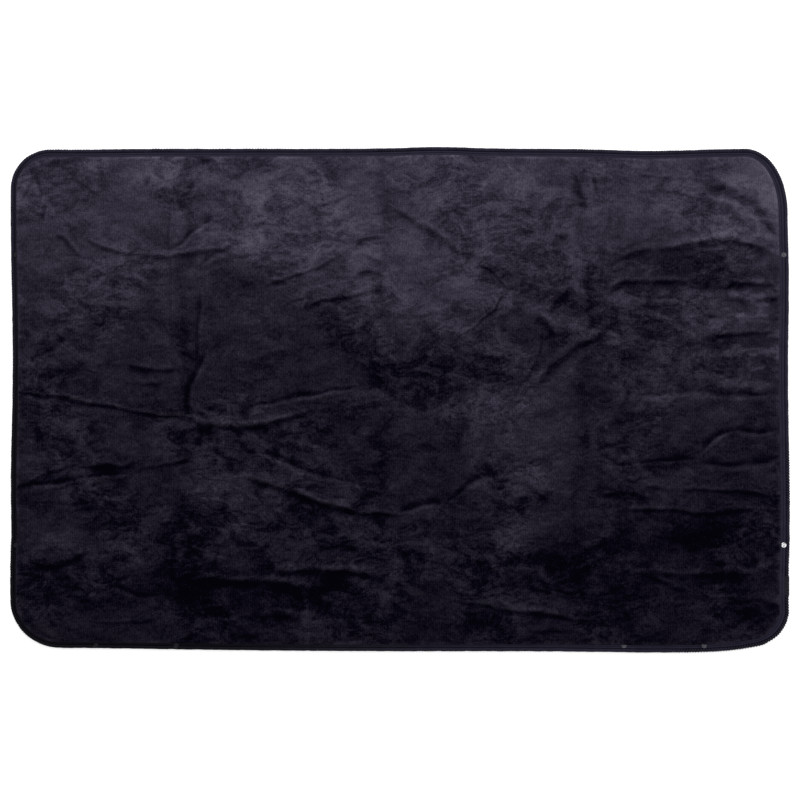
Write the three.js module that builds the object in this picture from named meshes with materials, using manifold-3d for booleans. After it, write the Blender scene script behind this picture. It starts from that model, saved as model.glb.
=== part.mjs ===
// A far-infrared sauna blanket: a plush-faced heated wrap that lies open as one flat rectangle and folds in
// half about its middle. Millimetres, +Z up, plush face up, long side along X, underside on z = 0.
// Each half is a stack of separate sheets, from the floor up: nylon shell, wadding, reflective foil, heater
// carrier, heating wire, cover cloth and plush lining. A binding folds round the stack's edge, and a rolled
// edge runs outside it. Press studs sit through the binding, and the power inlet opens in the right end.

import * as THREE from "three";
import { mergeVertices } from "three/addons/utils/BufferGeometryUtils.js";
import Module from "manifold-3d";

const wasm = await Module();
wasm.setup();

// Driving dimensions
const LENGTH = 1800;
const WIDTH = 1162;
const CORNER_R = 110;
const CORNER_STEPS = 6; // half the facets of a quarter turn
const GAP = 0.3; // between pieces that touch
const FOLD_GAP = 0.3; // between the halves, shared by both
const FOLD_BEND = 14; // wires and leads stop this far from the fold, which only soft sheets may bend over
const BAND = { right: 25, left: 20, top: 22, bottom: 20 }; // binding and roll together, seen from above
const ROLL_W = 8;
const ROLL_ROUND = 2.6;
const PLUSH_ROUND = 3;
const SKIRT_W = 4; // plush turned down round the stack
const EAT = 1; // a cutter reaches this far past what it cuts

// Heights of the layers, [bottom, top]
const SHELL_Z = [0, 1.0];
const WADDING_Z = [1.3, 7.3];
const FOIL_Z = [7.6, 8.1];
const CARRIER_Z = [8.4, 9.2];
const WIRE_Z = [9.5, 12.1];
const COVER_Z = [12.4, 13.2];
const PLUSH_Z = [13.5, 17.5];
const SKIRT_Z = 1.3;
const ROLL_Z = [0, 10.4];
const BINDING_Z = [0, 10];
const BINDING_T = 1.2;
const INTERLINING_Z = [1.8, 8.4];

// Heating wire
const WIRE_W = 2.6;
const WIRE_ROUND = 0.75;
const LANES = 10;
const LANE_PITCH = 78;
const FIRST_LANE_X = 62;
const LANE_END_Y = 520;
const TURN_STEPS = 8;
const BEND_STEPS = 4;
const LEAD_STEPS = 20;
const LEAD_GAP = 3; // between a lead's end and the wire's
// One lead runs from the terminals to the near half's last lane. The return runs from the terminals to the
// fold, and from the fold to the far half's last lane.
const LEAD_ROUTES = {
  right_supply_lead: [[848, -426], [822, -495], [784, -524]],
  right_return_lead: [[853, -436], [842, -508], [800, -540], [540, -541], [280, -541], [FOLD_BEND, -541]],
  left_return_lead: [[-FOLD_BEND, -541], [-240, -541], [-480, -541], [-700, -541], [-752, -522]],
};

const CUT_OUTS = [{ name: "near", lane: 1, y: 180 }, { name: "far", lane: 6, y: -180 }];
const CUT_OUT_SIZE = { x: 11, y: 26 };
const SENSOR = { lane: 4, r: 4 };

// Press studs
const STUD_R = 6;
const POST_R = 1.8;
const POST_HOLE_R = 2.1;
const STUD_INSET = 14; // from the outer edge to a stud's axis
const SIDE_STUD_Y = 335;
const BOTTOM_STUD_X = [517, 702];
const LATHE_STEPS = 14;

// Power inlet, in the right short edge
const INLET = { y: -430, width: 30, back: 870, mouth: 898.6, z: [1.6, 8.4], wall: 0.9, backWall: 6 };
const SURROUND = { width: 44, back: 875.5, face: 899.6, z: [0.1, 9.9], round: 4.2, steps: 6 };
const CAVITY_MARGIN = 1.8; // from the side of the inlet's body to its cavity
const PIN_R = 1.1;
const PIN_STEPS = 12;
const PIN_SPREAD = 8;
const PIN_TIP_X = 888;
const TERMINAL = { back: 846, front: 862, width: 26, z: [1.7, 7.6] };
const POCKET = { back: 842, width: 33, z: [1.2, 9.35] };

const COLOURS = {
  plush: { color: 0x2a242e, roughness: 0.96 },
  binding: { color: 0x1d1c2b, roughness: 0.62 },
  shell: { color: 0x20202c, roughness: 0.6 },
  wadding: { color: 0xe6e4de, roughness: 0.98 },
  foil: { color: 0xc9ccd0, roughness: 0.28, metalness: 0.9 },
  carrier: { color: 0xd9d6cc, roughness: 0.95 },
  cover: { color: 0xcfcac0, roughness: 0.95 },
  wire: { color: 0xb9482f, roughness: 0.5 },
  lead: { color: 0x17171a, roughness: 0.55 },
  nickel: { color: 0xb4b6ba, roughness: 0.25, metalness: 1 },
  brass: { color: 0xc09a4a, roughness: 0.3, metalness: 1 },
  plastic: { color: 0x141416, roughness: 0.5 },
  ceramic: { color: 0xe9e5da, roughness: 0.55 },
};

const part = new THREE.Group();
part.name = "infrared_sauna_blanket";

function addPiece(name, geometry, look) {
  const mesh = new THREE.Mesh(geometry, new THREE.MeshStandardMaterial(COLOURS[look]));
  mesh.name = name;
  part.add(mesh);
}

// Booleans

function solidOf(geometry) {
  const bare = geometry.clone();
  bare.deleteAttribute("normal");
  bare.deleteAttribute("uv");
  const merged = mergeVertices(bare, 1e-4);
  const mesh = new wasm.Mesh({
    numProp: 3,
    vertProperties: merged.attributes.position.array,
    triVerts: new Uint32Array(merged.index.array),
  });
  return new wasm.Manifold(mesh);
}

function geometryOf(solid) {
  const mesh = solid.getMesh();
  const indexed = new THREE.BufferGeometry();
  indexed.setAttribute("position", new THREE.BufferAttribute(new Float32Array(mesh.vertProperties), 3));
  indexed.setIndex(new THREE.BufferAttribute(new Uint32Array(mesh.triVerts), 1));
  const flat = indexed.toNonIndexed();
  flat.computeVertexNormals();
  return flat;
}

function cut(geometry, cutters) {
  let solid = solidOf(geometry);
  for (const cutter of cutters) solid = solid.subtract(solidOf(cutter));
  return geometryOf(solid);
}

function around(middle, width) {
  return [middle - width / 2, middle + width / 2];
}

function boxBetween(x, y, z) {
  const box = new THREE.BoxGeometry(x[1] - x[0], y[1] - y[0], z[1] - z[0]);
  return box.translate((x[0] + x[1]) / 2, (y[0] + y[1]) / 2, (z[0] + z[1]) / 2);
}

function disc(x, y, r, z) {
  const cylinder = new THREE.CylinderGeometry(r, r, z[1] - z[0], LATHE_STEPS);
  return cylinder.rotateX(Math.PI / 2).translate(x, y, (z[0] + z[1]) / 2);
}

// Outlines of one half, drawn for the right one and mirrored for the left

// How far in from the outer edge a half's end, top and bottom lie: the same all round, or past the band.
function fromEdge(amount) {
  return { end: amount, top: amount, bottom: amount };
}

function pastBand(side, more) {
  return { end: BAND[side] + more, top: BAND.top + more, bottom: BAND.bottom + more };
}

// Points from the bottom of the fold, round the two corners, to the top of the fold.
function outlinePoints(inset, startX) {
  const endX = LENGTH / 2 - inset.end;
  const topY = WIDTH / 2 - inset.top;
  const bottomY = -WIDTH / 2 + inset.bottom;
  const r = CORNER_R - inset.end;
  const path = new THREE.Path();
  path.moveTo(startX, bottomY);
  path.lineTo(endX - r, bottomY);
  path.absarc(endX - r, bottomY + r, r, -Math.PI / 2, 0, false);
  path.lineTo(endX, topY - r);
  path.absarc(endX - r, topY - r, r, 0, Math.PI / 2, false);
  path.lineTo(startX, topY);
  return path.getPoints(CORNER_STEPS);
}

function mirrored(points) {
  return points.map((p) => new THREE.Vector2(-p.x, p.y)).reverse();
}

function panelShape(side, inset, startX = FOLD_GAP / 2) {
  const points = outlinePoints(inset, startX);
  return new THREE.Shape(side === "right" ? points : mirrored(points));
}

function ringShape(side, outer, inner, startX = FOLD_GAP / 2) {
  const points = [...outlinePoints(outer, startX), ...outlinePoints(inner, startX).reverse()];
  return new THREE.Shape(side === "right" ? points : mirrored(points));
}

function slab(shape, z, bevel = 0, bevelSegments = 1) {
  const options = { depth: z[1] - z[0] - 2 * bevel, bevelEnabled: bevel > 0, bevelSegments };
  if (bevel) Object.assign(options, { bevelThickness: bevel, bevelSize: bevel, bevelOffset: -bevel });
  return new THREE.ExtrudeGeometry(shape, options).translate(0, 0, z[0] + bevel);
}

// A bevelled slab reaches over the fold, and this cuts it back to a flat face there.
const OVER_FOLD = 20;

function foldCutter(side) {
  const x = side === "right" ? [-2 * OVER_FOLD, FOLD_GAP / 2] : [-FOLD_GAP / 2, 2 * OVER_FOLD];
  return boxBetween(x, [-WIDTH, WIDTH], [-EAT, PLUSH_Z[1] + EAT]);
}

// Press studs

function studPlaces(side) {
  const sign = side === "right" ? 1 : -1;
  const endX = sign * (LENGTH / 2 - STUD_INSET);
  const bottomY = -WIDTH / 2 + STUD_INSET;
  return [
    { name: "upper", x: endX, y: SIDE_STUD_Y },
    { name: "lower", x: endX, y: -SIDE_STUD_Y },
    { name: "bottom_inner", x: sign * BOTTOM_STUD_X[0], y: bottomY },
    { name: "bottom_outer", x: sign * BOTTOM_STUD_X[1], y: bottomY },
  ];
}

function studHoles(side, r, z) {
  return studPlaces(side).map((place) => disc(place.x, place.y, r, z));
}

function turned(profile) {
  const points = profile.map(([r, z]) => new THREE.Vector2(r, z));
  return new THREE.LatheGeometry(points, LATHE_STEPS).rotateX(Math.PI / 2);
}

const CAP_Z = [0.05, 1.4];
const STUD_FACE_Z = BINDING_Z[1] + GAP;
const POST_FOOT_Z = CAP_Z[1] + GAP;

function ballStud() {
  const z = STUD_FACE_Z;
  return turned([
    [0, POST_FOOT_Z],
    [POST_R, POST_FOOT_Z],
    [POST_R, z],
    [STUD_R - 0.4, z],
    [STUD_R, z + 0.4],
    [STUD_R, z + 0.9],
    [STUD_R - 0.5, z + 1.3],
    [3.6, z + 1.0],
    [2.2, z + 1.2],
    [2.0, z + 2.0],
    [2.4, z + 2.7],
    [1.8, z + 3.3],
    [0, z + 3.4],
  ]);
}

function socketStud() {
  const z = STUD_FACE_Z;
  return turned([
    [0, POST_FOOT_Z],
    [POST_R, POST_FOOT_Z],
    [POST_R, z],
    [STUD_R - 0.4, z],
    [STUD_R, z + 0.4],
    [STUD_R, z + 1.2],
    [STUD_R - 0.6, z + 1.7],
    [4.6, z + 1.5],
    [4.0, z + 2.6],
    [3.1, z + 2.8],
    [2.5, z + 2.3],
    [2.6, z + 0.6],
    [0, z + 0.5],
  ]);
}

function studCap() {
  return turned([
    [0, CAP_Z[0]],
    [STUD_R - 1.6, CAP_Z[0]],
    [STUD_R, CAP_Z[0] + 0.6],
    [STUD_R, CAP_Z[1] - 0.3],
    [STUD_R - 0.3, CAP_Z[1]],
    [0, CAP_Z[1]],
  ]);
}

function addStuds(side) {
  const face = side === "right" ? ballStud : socketStud;
  const kind = side === "right" ? "stud_ball" : "stud_socket";
  for (const place of studPlaces(side)) {
    addPiece(`${side}_${kind}_${place.name}`, face().translate(place.x, place.y, 0), "nickel");
    addPiece(`${side}_stud_cap_${place.name}`, studCap().translate(place.x, place.y, 0), "nickel");
  }
}

// Power inlet, its cutters and its terminals

const inletY = around(INLET.y, INLET.width);
const surroundY = around(INLET.y, SURROUND.width);
const pinYs = around(INLET.y, 2 * PIN_SPREAD);
const pinZ = (INLET.z[0] + INLET.z[1]) / 2;
const pinX = [TERMINAL.front + GAP, PIN_TIP_X];

function inletPocket() {
  const x = [POCKET.back, LENGTH / 2 - BAND.right + EAT];
  return boxBetween(x, around(INLET.y, POCKET.width), POCKET.z);
}

function alongX(r, x, y, z) {
  const rod = new THREE.CylinderGeometry(r, r, x[1] - x[0], PIN_STEPS);
  return rod.rotateZ(Math.PI / 2).translate((x[0] + x[1]) / 2, y, z);
}

// A block with its two outer edges rounded like the rolled edge that it stands in for.
function inletSurround() {
  const { back, face, round, z } = SURROUND;
  const shape = new THREE.Shape();
  shape.moveTo(back, z[0]);
  shape.absarc(face - round, z[0] + round, round, -Math.PI / 2, 0, false);
  shape.absarc(face - round, z[1] - round, round, 0, Math.PI / 2, false);
  shape.lineTo(back, z[1]);
  const options = { depth: SURROUND.width, bevelEnabled: false, curveSegments: SURROUND.steps };
  return new THREE.ExtrudeGeometry(shape, options).rotateX(Math.PI / 2).translate(0, surroundY[1], 0);
}

function addInlet() {
  const { back, mouth, wall, backWall, z } = INLET;
  const body = boxBetween([back, mouth], inletY, z);
  const cavityX = [back + backWall, LENGTH / 2 + EAT];
  const cavityY = around(INLET.y, INLET.width - 2 * CAVITY_MARGIN);
  const cavity = boxBetween(cavityX, cavityY, [z[0] + wall, z[1] - wall]);
  const pinHoles = pinYs.map((y) => alongX(PIN_R + GAP / 2, [back - EAT, back + backWall + EAT], y, pinZ));
  const housing = geometryOf(solidOf(body).add(solidOf(inletSurround())));
  addPiece("right_inlet_housing", cut(housing, [cavity, ...pinHoles]), "plastic");
  addPiece("right_inlet_pin_live", alongX(PIN_R, pinX, pinYs[0], pinZ), "brass");
  addPiece("right_inlet_pin_return", alongX(PIN_R, pinX, pinYs[1], pinZ), "brass");
  const terminal = boxBetween([TERMINAL.back, TERMINAL.front], around(INLET.y, TERMINAL.width), TERMINAL.z);
  addPiece("right_terminal_block", terminal, "ceramic");
}

// The inlet's surround parts what runs along the right half's edge in two.
function addEdgePiece(side, name, geometry, look) {
  if (side === "left") {
    addPiece(`left_${name}`, geometry, look);
    return;
  }
  const allX = [-EAT, LENGTH];
  const allZ = [-EAT, PLUSH_Z[1]];
  const upToSurround = boxBetween(allX, [-WIDTH, surroundY[1] + GAP], allZ);
  const fromSurround = boxBetween(allX, [surroundY[0] - GAP, WIDTH], allZ);
  addPiece(`right_${name}_upper`, cut(geometry, [upToSurround]), look);
  addPiece(`right_${name}_lower`, cut(geometry, [fromSurround]), look);
}

// Sheets of one half

function binding(side) {
  const outside = fromEdge(ROLL_W + GAP);
  const inside = pastBand(side, 0);
  const body = slab(ringShape(side, outside, inside), BINDING_Z);
  const wallInside = fromEdge(ROLL_W + GAP + BINDING_T);
  const hollowZ = [BINDING_Z[0] + BINDING_T, BINDING_Z[1] - BINDING_T];
  const hollow = slab(ringShape(side, wallInside, pastBand(side, EAT), -OVER_FOLD), hollowZ);
  const cutters = [
    hollow,
    ...studHoles(side, POST_HOLE_R, [hollowZ[1] - EAT, BINDING_Z[1] + EAT]),
    ...studHoles(side, STUD_R + GAP, [BINDING_Z[0] - EAT, hollowZ[0] + EAT]),
  ];
  return cut(body, cutters);
}

function interlining(side) {
  const outside = fromEdge(ROLL_W + 2 * GAP + BINDING_T);
  const body = slab(ringShape(side, outside, pastBand(side, 0)), INTERLINING_Z);
  return cut(body, studHoles(side, POST_HOLE_R, [0, BINDING_Z[1]]));
}

function roll(side) {
  const shape = ringShape(side, fromEdge(0), fromEdge(ROLL_W), -OVER_FOLD);
  return cut(slab(shape, ROLL_Z, ROLL_ROUND, 2), [foldCutter(side)]);
}

function plush(side) {
  // The slab's rounded lower edge lies below the skirt's foot and is cut away.
  const bodyZ = [SKIRT_Z - PLUSH_ROUND, PLUSH_Z[1]];
  const body = slab(panelShape(side, pastBand(side, GAP), -OVER_FOLD), bodyZ, PLUSH_ROUND, 2);
  const hollowZ = [bodyZ[0] - EAT, PLUSH_Z[0]];
  const hollow = slab(panelShape(side, pastBand(side, GAP + SKIRT_W), -OVER_FOLD), hollowZ);
  const below = boxBetween([-LENGTH, LENGTH], [-WIDTH, WIDTH], [hollowZ[0] - EAT, SKIRT_Z]);
  const cutters = [hollow, below, foldCutter(side)];
  if (side === "right") cutters.push(inletPocket());
  return cut(body, cutters);
}

function stackSheet(side, z) {
  const body = slab(panelShape(side, pastBand(side, 2 * GAP + SKIRT_W)), z);
  return side === "right" ? cut(body, [inletPocket()]) : body;
}

// Heating wire and what is wired to it, all in the wire's own layer

// Left and right sides of a strip that follows the points, closed into one outline.
function ribbon(points, width) {
  const leftSide = [];
  const rightSide = [];
  points.forEach((p, i) => {
    const before = points[Math.max(i - 1, 0)];
    const after = points[Math.min(i + 1, points.length - 1)];
    const along = after.clone().sub(before).normalize();
    const across = new THREE.Vector2(-along.y, along.x).multiplyScalar(width / 2);
    leftSide.push(p.clone().add(across));
    rightSide.push(p.clone().sub(across));
  });
  return new THREE.Shape([...rightSide, ...leftSide.reverse()]);
}

function roundWire(points) {
  return slab(ribbon(points, WIRE_W), WIRE_Z, WIRE_ROUND);
}

// In from the fold, round a quarter turn, and up and down the lanes.
function wirePoints(sign) {
  const r = LANE_PITCH / 2;
  const bend = FIRST_LANE_X - FOLD_BEND - LANE_PITCH / 4;
  const bendY = r - LANE_END_Y;
  const points = [new THREE.Vector2(sign * FOLD_BEND, bendY - bend)];
  for (let step = 0; step < BEND_STEPS; step++) {
    const turn = -Math.PI / 2 * (1 - step / BEND_STEPS);
    const x = FIRST_LANE_X - bend + bend * Math.cos(turn);
    points.push(new THREE.Vector2(sign * x, bendY + bend * Math.sin(turn)));
  }
  for (let lane = 0; lane < LANES; lane++) {
    const x = FIRST_LANE_X + lane * LANE_PITCH;
    const up = lane % 2 === 0 ? 1 : -1;
    const reach = LANE_END_Y - r;
    points.push(new THREE.Vector2(sign * x, -up * reach));
    if (lane === LANES - 1) {
      points.push(new THREE.Vector2(sign * x, up * reach));
      continue;
    }
    for (let step = 0; step < TURN_STEPS; step++) {
      const turn = Math.PI * (1 - step / TURN_STEPS);
      points.push(new THREE.Vector2(sign * (x + r + r * Math.cos(turn)), up * (reach + r * Math.sin(turn))));
    }
  }
  return points;
}

function addHeaterWiring(side) {
  const sign = side === "right" ? 1 : -1;
  addPiece(`${side}_heating_wire`, roundWire(wirePoints(sign)), "wire");

  const betweenLanes = (lane) => sign * (FIRST_LANE_X + (lane + 0.5) * LANE_PITCH);
  for (const { name, lane, y } of CUT_OUTS) {
    const x = around(betweenLanes(lane), CUT_OUT_SIZE.x);
    addPiece(`${side}_thermal_cut_out_${name}`, boxBetween(x, around(y, CUT_OUT_SIZE.y), WIRE_Z), "ceramic");
  }
  addPiece(`${side}_temperature_sensor`, disc(betweenLanes(SENSOR.lane), 0, SENSOR.r, WIRE_Z), "lead");
}

// The leads that end at a half's last lane meet the wire there, and the near half's return ends at the fold.
function addLeads() {
  const laneEnd = (sign) => [
    sign * (FIRST_LANE_X + (LANES - 1) * LANE_PITCH),
    LANE_PITCH / 2 - LANE_END_Y - LEAD_GAP,
  ];
  const ends = { right_supply_lead: [laneEnd(1)], right_return_lead: [], left_return_lead: [laneEnd(-1)] };
  for (const [name, route] of Object.entries(LEAD_ROUTES)) {
    const points = [...route, ...ends[name]].map(([x, y]) => new THREE.Vector2(x, y));
    addPiece(name, roundWire(new THREE.SplineCurve(points).getPoints(LEAD_STEPS)), "lead");
  }
}

function addHalf(side) {
  addPiece(`${side}_plush_lining`, plush(side), "plush");
  addEdgePiece(side, "edge_binding", binding(side), "binding");
  addEdgePiece(side, "rolled_edge", roll(side), "binding");
  addEdgePiece(side, "edge_interlining", interlining(side), "wadding");
  addPiece(`${side}_heater_cover_cloth`, stackSheet(side, COVER_Z), "cover");
  addHeaterWiring(side);
  addPiece(`${side}_heater_carrier`, stackSheet(side, CARRIER_Z), "carrier");
  addPiece(`${side}_reflective_foil`, stackSheet(side, FOIL_Z), "foil");
  addPiece(`${side}_wadding`, stackSheet(side, WADDING_Z), "wadding");
  addPiece(`${side}_outer_shell`, slab(panelShape(side, pastBand(side, GAP)), SHELL_Z), "shell");
  addStuds(side);
}

addHalf("right");
addHalf("left");
addLeads();
addInlet();

export default part;
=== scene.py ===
"""The infrared sauna blanket's looks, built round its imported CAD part: metres, +Z up, plush face up."""

import math

import bmesh
import bpy
import numpy as np
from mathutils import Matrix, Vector
from mathutils.kdtree import KDTree
from mathutils.noise import noise


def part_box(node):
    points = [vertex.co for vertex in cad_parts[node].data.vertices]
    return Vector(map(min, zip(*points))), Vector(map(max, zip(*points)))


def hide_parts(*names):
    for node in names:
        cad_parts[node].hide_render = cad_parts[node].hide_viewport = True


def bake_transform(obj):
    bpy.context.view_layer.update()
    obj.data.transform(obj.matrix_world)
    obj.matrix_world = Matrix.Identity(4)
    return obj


MM = 0.001
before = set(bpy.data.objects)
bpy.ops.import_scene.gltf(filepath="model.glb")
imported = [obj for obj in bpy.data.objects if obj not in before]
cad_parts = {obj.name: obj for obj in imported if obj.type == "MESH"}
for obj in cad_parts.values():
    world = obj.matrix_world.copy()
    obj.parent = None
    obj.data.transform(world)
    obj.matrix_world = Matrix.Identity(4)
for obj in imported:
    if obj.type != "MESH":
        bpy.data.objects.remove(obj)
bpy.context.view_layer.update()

HALF_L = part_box("right_rolled_edge_upper")[1][0]
HALF_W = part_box("left_rolled_edge")[1][1]
BAND_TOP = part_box("left_edge_binding")[1][2]
PLUSH_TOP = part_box("left_plush_lining")[1][2]
STACK_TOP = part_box("left_heater_cover_cloth")[1][2]

# Camera

FRAME_WIDTH = 1.847
LENS = 85.0
SENSOR = 36.0


def link_object(name, data):
    new = bpy.data.objects.new(name, data)
    bpy.context.scene.collection.objects.link(new)
    return new


def make_camera():
    data = bpy.data.cameras.new("camera")
    data.lens = LENS
    data.sensor_width = SENSOR
    camera = link_object("camera", data)
    camera.location = (0.0, 0.0, BAND_TOP + FRAME_WIDTH * LENS / SENSOR)
    bpy.context.scene.camera = camera


make_camera()

# Small helpers


def smooth(x, low, high):
    t = np.clip((x - low) / (high - low), 0.0, 1.0)
    return t * t * (3 - 2 * t)


def bump_at(t, centre, width):
    return np.exp(-(((t - centre) / width) ** 2))


def add_object(name, verts, faces, material):
    mesh = bpy.data.meshes.new(name)
    mesh.from_pydata([tuple(v) for v in verts], [], faces)
    mesh.validate()
    mesh.polygons.foreach_set("use_smooth", [True] * len(mesh.polygons))
    mesh.materials.append(material)
    return link_object(name, mesh)


def add_attribute(piece, name, kind, field, values):
    attribute = piece.data.attributes.new(name, kind, "POINT")
    attribute.data.foreach_set(field, np.asarray(values, dtype=np.float32).ravel())


def add_square(name, half):
    mesh = bpy.data.meshes.new(name)
    corners = [(-half, -half, 0), (half, -half, 0), (half, half, 0), (-half, half, 0)]
    mesh.from_pydata(corners, [], [(0, 1, 2, 3)])
    return link_object(name, mesh)


def lengths_along(points):
    """How far along a broken line each of its points is."""
    return np.concatenate([[0], np.cumsum(np.linalg.norm(np.diff(points, axis=0), axis=1))])


def tube_faces(first, rings, sides):
    """Faces of a closed tube whose rings of points start at number first."""
    last = first + sides * (rings - 1)
    faces = []
    for a in range(first, last, sides):
        b = a + sides
        faces += [(a + m, a + (m + 1) % sides, b + (m + 1) % sides, b + m) for m in range(sides)]
    faces.append(tuple(range(first + sides - 1, first - 1, -1)))
    faces.append(tuple(range(last, last + sides)))
    return faces


# Outline: a rectangle with elliptical corners, each edge drifting a few millimetres in or out

CORNERS = {  # corner radii along X and along Y
    "bottom_left": (0.116, 0.112),
    "bottom_right": (0.072, 0.088),
    "top_right": (0.102, 0.148),
    "top_left": (0.094, 0.094),
}
# place along the edge, spread, how far out
DRIFT = {
    "bottom": [(-0.85, 0.45, -0.008), (0.60, 0.16, 0.003), (0.90, 0.10, -0.021)],
    "right": [(0.45, 0.12, -0.004), (-0.35, 0.25, 0.001), (0.06, 0.17, -0.003), (-0.43, 0.08, -0.003)],
    "top": [(0.09, 0.10, 0.004), (0.58, 0.13, -0.005), (-0.75, 0.12, -0.002)],
    "left": [(0.05, 0.15, -0.0045), (-0.40, 0.10, 0.001), (0.22, 0.12, -0.002), (-0.30, 0.05, -0.002)],
}
STEP = 0.0015


def drift(edge, t):
    return sum(out * bump_at(t, centre, spread) for centre, spread, out in DRIFT[edge])


def raw_outline():
    """Points counter-clockwise from the middle of the bottom edge."""
    points = []

    def straight(a, b):
        count = max(int(np.hypot(*(np.subtract(b, a))) / STEP), 1)
        for k in range(count):
            points.append(np.add(a, np.subtract(b, a) * (k / count)))

    def corner(name, cx, cy, start):
        rx, ry = CORNERS[name]
        count = int(0.5 * math.pi * max(rx, ry) / STEP)
        for k in range(count):
            turn = start + 0.5 * math.pi * k / count
            points.append(np.array([cx + rx * math.cos(turn), cy + ry * math.sin(turn)]))

    bl, br = CORNERS["bottom_left"], CORNERS["bottom_right"]
    tr, tl = CORNERS["top_right"], CORNERS["top_left"]
    straight((0, -HALF_W), (HALF_L - br[0], -HALF_W))
    corner("bottom_right", HALF_L - br[0], -HALF_W + br[1], -0.5 * math.pi)
    straight((HALF_L, -HALF_W + br[1]), (HALF_L, HALF_W - tr[1]))
    corner("top_right", HALF_L - tr[0], HALF_W - tr[1], 0.0)
    straight((HALF_L - tr[0], HALF_W), (-HALF_L + tl[0], HALF_W))
    corner("top_left", -HALF_L + tl[0], HALF_W - tl[1], 0.5 * math.pi)
    straight((-HALF_L, HALF_W - tl[1]), (-HALF_L, -HALF_W + bl[1]))
    corner("bottom_left", -HALF_L + bl[0], -HALF_W + bl[1], math.pi)
    straight((-HALF_L + bl[0], -HALF_W), (0, -HALF_W))
    return np.array(points)


def closed_normals(points):
    along = np.roll(points, -3, axis=0) - np.roll(points, 3, axis=0)
    along /= np.linalg.norm(along, axis=1)[:, None]
    return np.stack([-along[:, 1], along[:, 0]], axis=1)  # to the left of the way round, so inwards


def resample(points, count):
    closed = np.vstack([points, points[:1]])
    length = lengths_along(closed)
    at = np.linspace(0, length[-1], count, endpoint=False)
    return np.stack([np.interp(at, length, closed[:, k]) for k in (0, 1)], axis=1), length[-1]


def facing(inward):
    """How much each point of the outline faces each side, from 0 to 1."""
    return {
        "left": np.clip(inward[:, 0], 0, 1),
        "right": np.clip(-inward[:, 0], 0, 1),
        "bottom": np.clip(inward[:, 1], 0, 1),
        "top": np.clip(-inward[:, 1], 0, 1),
    }


def make_outline():
    points = raw_outline()
    inward = closed_normals(points)
    along = {"left": points[:, 1], "right": points[:, 1], "bottom": points[:, 0], "top": points[:, 0]}
    out = sum(share * drift(side, along[side]) for side, share in facing(inward).items())
    return points - inward * out[:, None]


OUTLINE_POINTS = 4800
outline, perimeter = resample(make_outline(), OUTLINE_POINTS)
inward = closed_normals(outline)

# Width of the band that shows between the plush and the outer edge, side by side
SHOWN_BAND = {"left": 0.0145, "right": 0.0222, "top": 0.0190, "bottom": 0.0160}
BAND_GROWTH = 0.0025  # how much wider it gets along the lower side, from the middle to the right end


def band_width():
    pull = facing(inward)
    total = sum(pull[side] ** 2 for side in pull)
    width = sum(SHOWN_BAND[side] * pull[side] ** 2 for side in pull) / total
    return width + BAND_GROWTH * outline[:, 0] / HALF_L * pull["bottom"]


shown_band = band_width()

# Grids stretched over the outline, with close columns over the bend of the fold

FOLD_COLUMNS = 25
FOLD_REACH = 18 * MM  # how far the close columns reach to each side of the fold


def column_places(count):
    """Places along the long sides from 0 to 1, with the fold at 0.5."""
    reach = 0.5 * FOLD_REACH / HALF_L
    before = np.linspace(0, 0.5 - reach, (count - FOLD_COLUMNS) // 2, endpoint=False)
    bend = np.linspace(0.5 - reach, 0.5 + reach, FOLD_COLUMNS)
    return np.concatenate([before, bend, 1 - before[::-1]])


def corner_middles(points):
    """Where the outline passes the middle of its corners: bottom left, bottom right, top right, top left."""
    spots = [(-1, -1), (1, -1), (1, 1), (-1, 1)]
    return [int(np.argmax(points[:, 0] / HALF_L * sx + points[:, 1] / HALF_W * sy)) for sx, sy in spots]


def run_between(points, start, end):
    if end < start:
        return np.vstack([points[start:], points[: end + 1]])
    return points[start : end + 1]


def points_along(run, places, about_fold=False):
    """Points at places from 0 to 1 along a run, or along each side of the fold if it crosses that."""
    length = lengths_along(run)
    at = places * length[-1]
    if about_fold:
        fold = np.interp(0.0, run[:, 0], length)
        at = np.where(places < 0.5, 2 * places * fold, fold + (2 * places - 1) * (length[-1] - fold))
    return np.stack([np.interp(at, length, run[:, k]) for k in (0, 1)], axis=1)


def stretched_grid(rim, places, nv):
    """A Coons patch of nv rows, and a column at each place, inside a closed rim."""
    bl, br, tr, tl = corner_middles(rim)
    rows = np.linspace(0, 1, nv)
    bottom = points_along(run_between(rim, bl, br), places, True)
    top = points_along(run_between(rim, tr, tl)[::-1], places, True)
    right = points_along(run_between(rim, br, tr), rows)
    left = points_along(run_between(rim, tl, bl)[::-1], rows)
    u = places[None, :, None]
    v = rows[:, None, None]
    across = (1 - v) * bottom[None] + v * top[None]
    along = (1 - u) * left[:, None] + u * right[:, None]
    lower = (1 - u) * bottom[0] + u * bottom[-1]
    upper = (1 - u) * top[0] + u * top[-1]
    return across + along - (1 - v) * lower - v * upper


def grid_faces(nu, nv):
    return [
        (j * nu + i, j * nu + i + 1, (j + 1) * nu + i + 1, (j + 1) * nu + i)
        for j in range(nv - 1)
        for i in range(nu - 1)
    ]


def grid_rim(nu, nv):
    """Numbers of a grid's outermost points, counter-clockwise."""
    rim = list(range(nu - 1)) + [j * nu + nu - 1 for j in range(nv - 1)]
    return rim + [(nv - 1) * nu + i for i in range(nu - 1, 0, -1)] + [j * nu for j in range(nv - 1, 0, -1)]


# Plush lining: its wrinkles come from a cloth simulation and from creases

NU, NV = 441, 281
PLUSH_RIM_Z = BAND_TOP + 0.2 * MM

plush_rim = outline + inward * shown_band[:, None]
plush_xy = stretched_grid(plush_rim, column_places(NU), NV)


def rim_distance(grid):
    tree = KDTree(len(plush_rim))
    for k, (x, y) in enumerate(plush_rim):
        tree.insert((x, y, 0), k)
    tree.balance()
    flat = grid.reshape(-1, 2)
    found = np.array([tree.find((x, y, 0))[2] for x, y in flat])
    return found.reshape(grid.shape[:2])


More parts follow.
